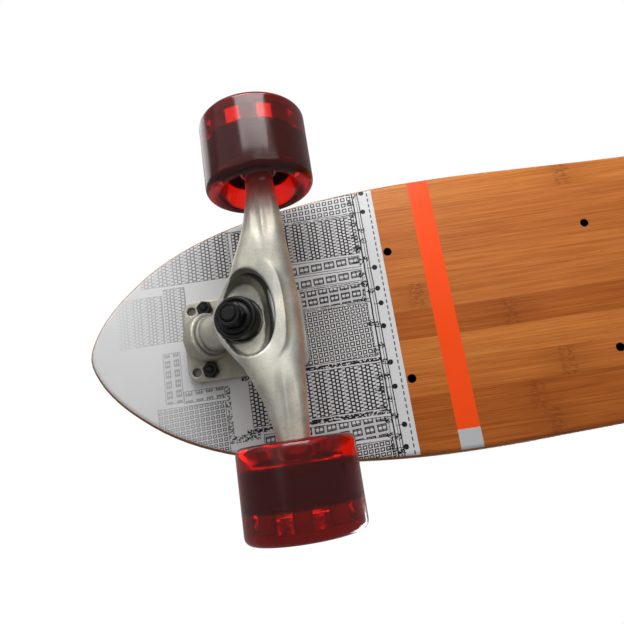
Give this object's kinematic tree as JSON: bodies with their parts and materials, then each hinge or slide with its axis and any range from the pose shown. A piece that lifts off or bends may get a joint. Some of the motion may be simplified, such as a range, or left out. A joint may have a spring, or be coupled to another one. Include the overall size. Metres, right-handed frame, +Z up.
{
  "type": "longboard skateboard",
  "caption": "Longboard skateboard with a flat pointed bamboo deck, sprung steering trucks and red urethane wheels on bearings; it rolls and turns when leaned.",
  "frame": {"origin": "on the floor under the middle of the board, which stands on its wheels", "axes": "+X to the nose (the printed end), +Y to the left side, +Z up"},
  "size_m": [0.914, 0.2444, 0.1027],
  "materials": {
    "bamboo": "satin",
    "grip": "matt, coarse",
    "baseplate": "satin",
    "hanger": "satin",
    "pivot_cup": "matt",
    "axle": "satin",
    "bushing": "satin",
    "tyre": "gloss",
    "core": "gloss",
    "bearing": "satin",
    "black_steel": "black oxide"
  },
  "bodies": {
    "board": {"deck": "bamboo", "front_baseplate": "baseplate", "front_board_bushing": "bushing", "front_board_washer": "black_steel", "front_inner_left_bolt": "black_steel", "front_inner_left_nut": "black_steel", "front_inner_right_bolt": "black_steel", "front_inner_right_nut": "black_steel", "front_kingpin": "black_steel", "front_kingpin_nut": "black_steel", "front_outer_left_bolt": "black_steel", "front_outer_left_nut": "black_steel", "front_outer_right_bolt": "black_steel", "front_outer_right_nut": "black_steel", "front_pivot_cup": "pivot_cup", "front_road_bushing": "bushing", "front_road_washer": "black_steel", "grip_tape": "grip", "rear_baseplate": "baseplate", "rear_board_bushing": "bushing", "rear_board_washer": "black_steel", "rear_inner_left_bolt": "black_steel", "rear_inner_left_nut": "black_steel", "rear_inner_right_bolt": "black_steel", "rear_inner_right_nut": "black_steel", "rear_kingpin": "black_steel", "rear_kingpin_nut": "black_steel", "rear_outer_left_bolt": "black_steel", "rear_outer_left_nut": "black_steel", "rear_outer_right_bolt": "black_steel", "rear_outer_right_nut": "black_steel", "rear_pivot_cup": "pivot_cup", "rear_road_bushing": "bushing", "rear_road_washer": "black_steel"},
    "front_hanger": {"front_axle": "axle", "front_hanger": "hanger", "front_left_axle_nut": "axle", "front_right_axle_nut": "axle"},
    "rear_hanger": {"rear_axle": "axle", "rear_hanger": "hanger", "rear_left_axle_nut": "axle", "rear_right_axle_nut": "axle"},
    "front_left_wheel": {"front_left_core": "core", "front_left_inner_bearing": "bearing", "front_left_outer_bearing": "bearing", "front_left_tyre": "tyre"},
    "front_right_wheel": {"front_right_core": "core", "front_right_inner_bearing": "bearing", "front_right_outer_bearing": "bearing", "front_right_tyre": "tyre"},
    "rear_left_wheel": {"rear_left_core": "core", "rear_left_inner_bearing": "bearing", "rear_left_outer_bearing": "bearing", "rear_left_tyre": "tyre"},
    "rear_right_wheel": {"rear_right_core": "core", "rear_right_inner_bearing": "bearing", "rear_right_outer_bearing": "bearing", "rear_right_tyre": "tyre"}
  },
  "joints": [
    {"name": "front_steer", "type": "hinge", "parent": "board", "child": "front_hanger", "pos_m": [0.374, 0, 0.076], "axis": [0.7312, 0, 0.6821], "range_deg": [-18, 18], "stiffness_Nm_per_rad": 30, "deforming": ["front_board_bushing", "front_road_bushing"]},
    {"name": "rear_steer", "type": "hinge", "parent": "board", "child": "rear_hanger", "pos_m": [-0.374, 0, 0.076], "axis": [-0.7312, 0, 0.6821], "range_deg": [-18, 18], "stiffness_Nm_per_rad": 30, "deforming": ["rear_board_bushing", "rear_road_bushing"]},
    {"name": "front_left_spin", "type": "hinge", "parent": "front_hanger", "child": "front_left_wheel", "pos_m": [0.325, 0.098, 0.0325], "axis": [0, 1, 0], "continuous": true},
    {"name": "front_right_spin", "type": "hinge", "parent": "front_hanger", "child": "front_right_wheel", "pos_m": [0.325, -0.098, 0.0325], "axis": [0, 1, 0], "continuous": true},
    {"name": "rear_left_spin", "type": "hinge", "parent": "rear_hanger", "child": "rear_left_wheel", "pos_m": [-0.325, 0.098, 0.0325], "axis": [0, 1, 0], "continuous": true},
    {"name": "rear_right_spin", "type": "hinge", "parent": "rear_hanger", "child": "rear_right_wheel", "pos_m": [-0.325, -0.098, 0.0325], "axis": [0, 1, 0], "continuous": true}
  ]
}
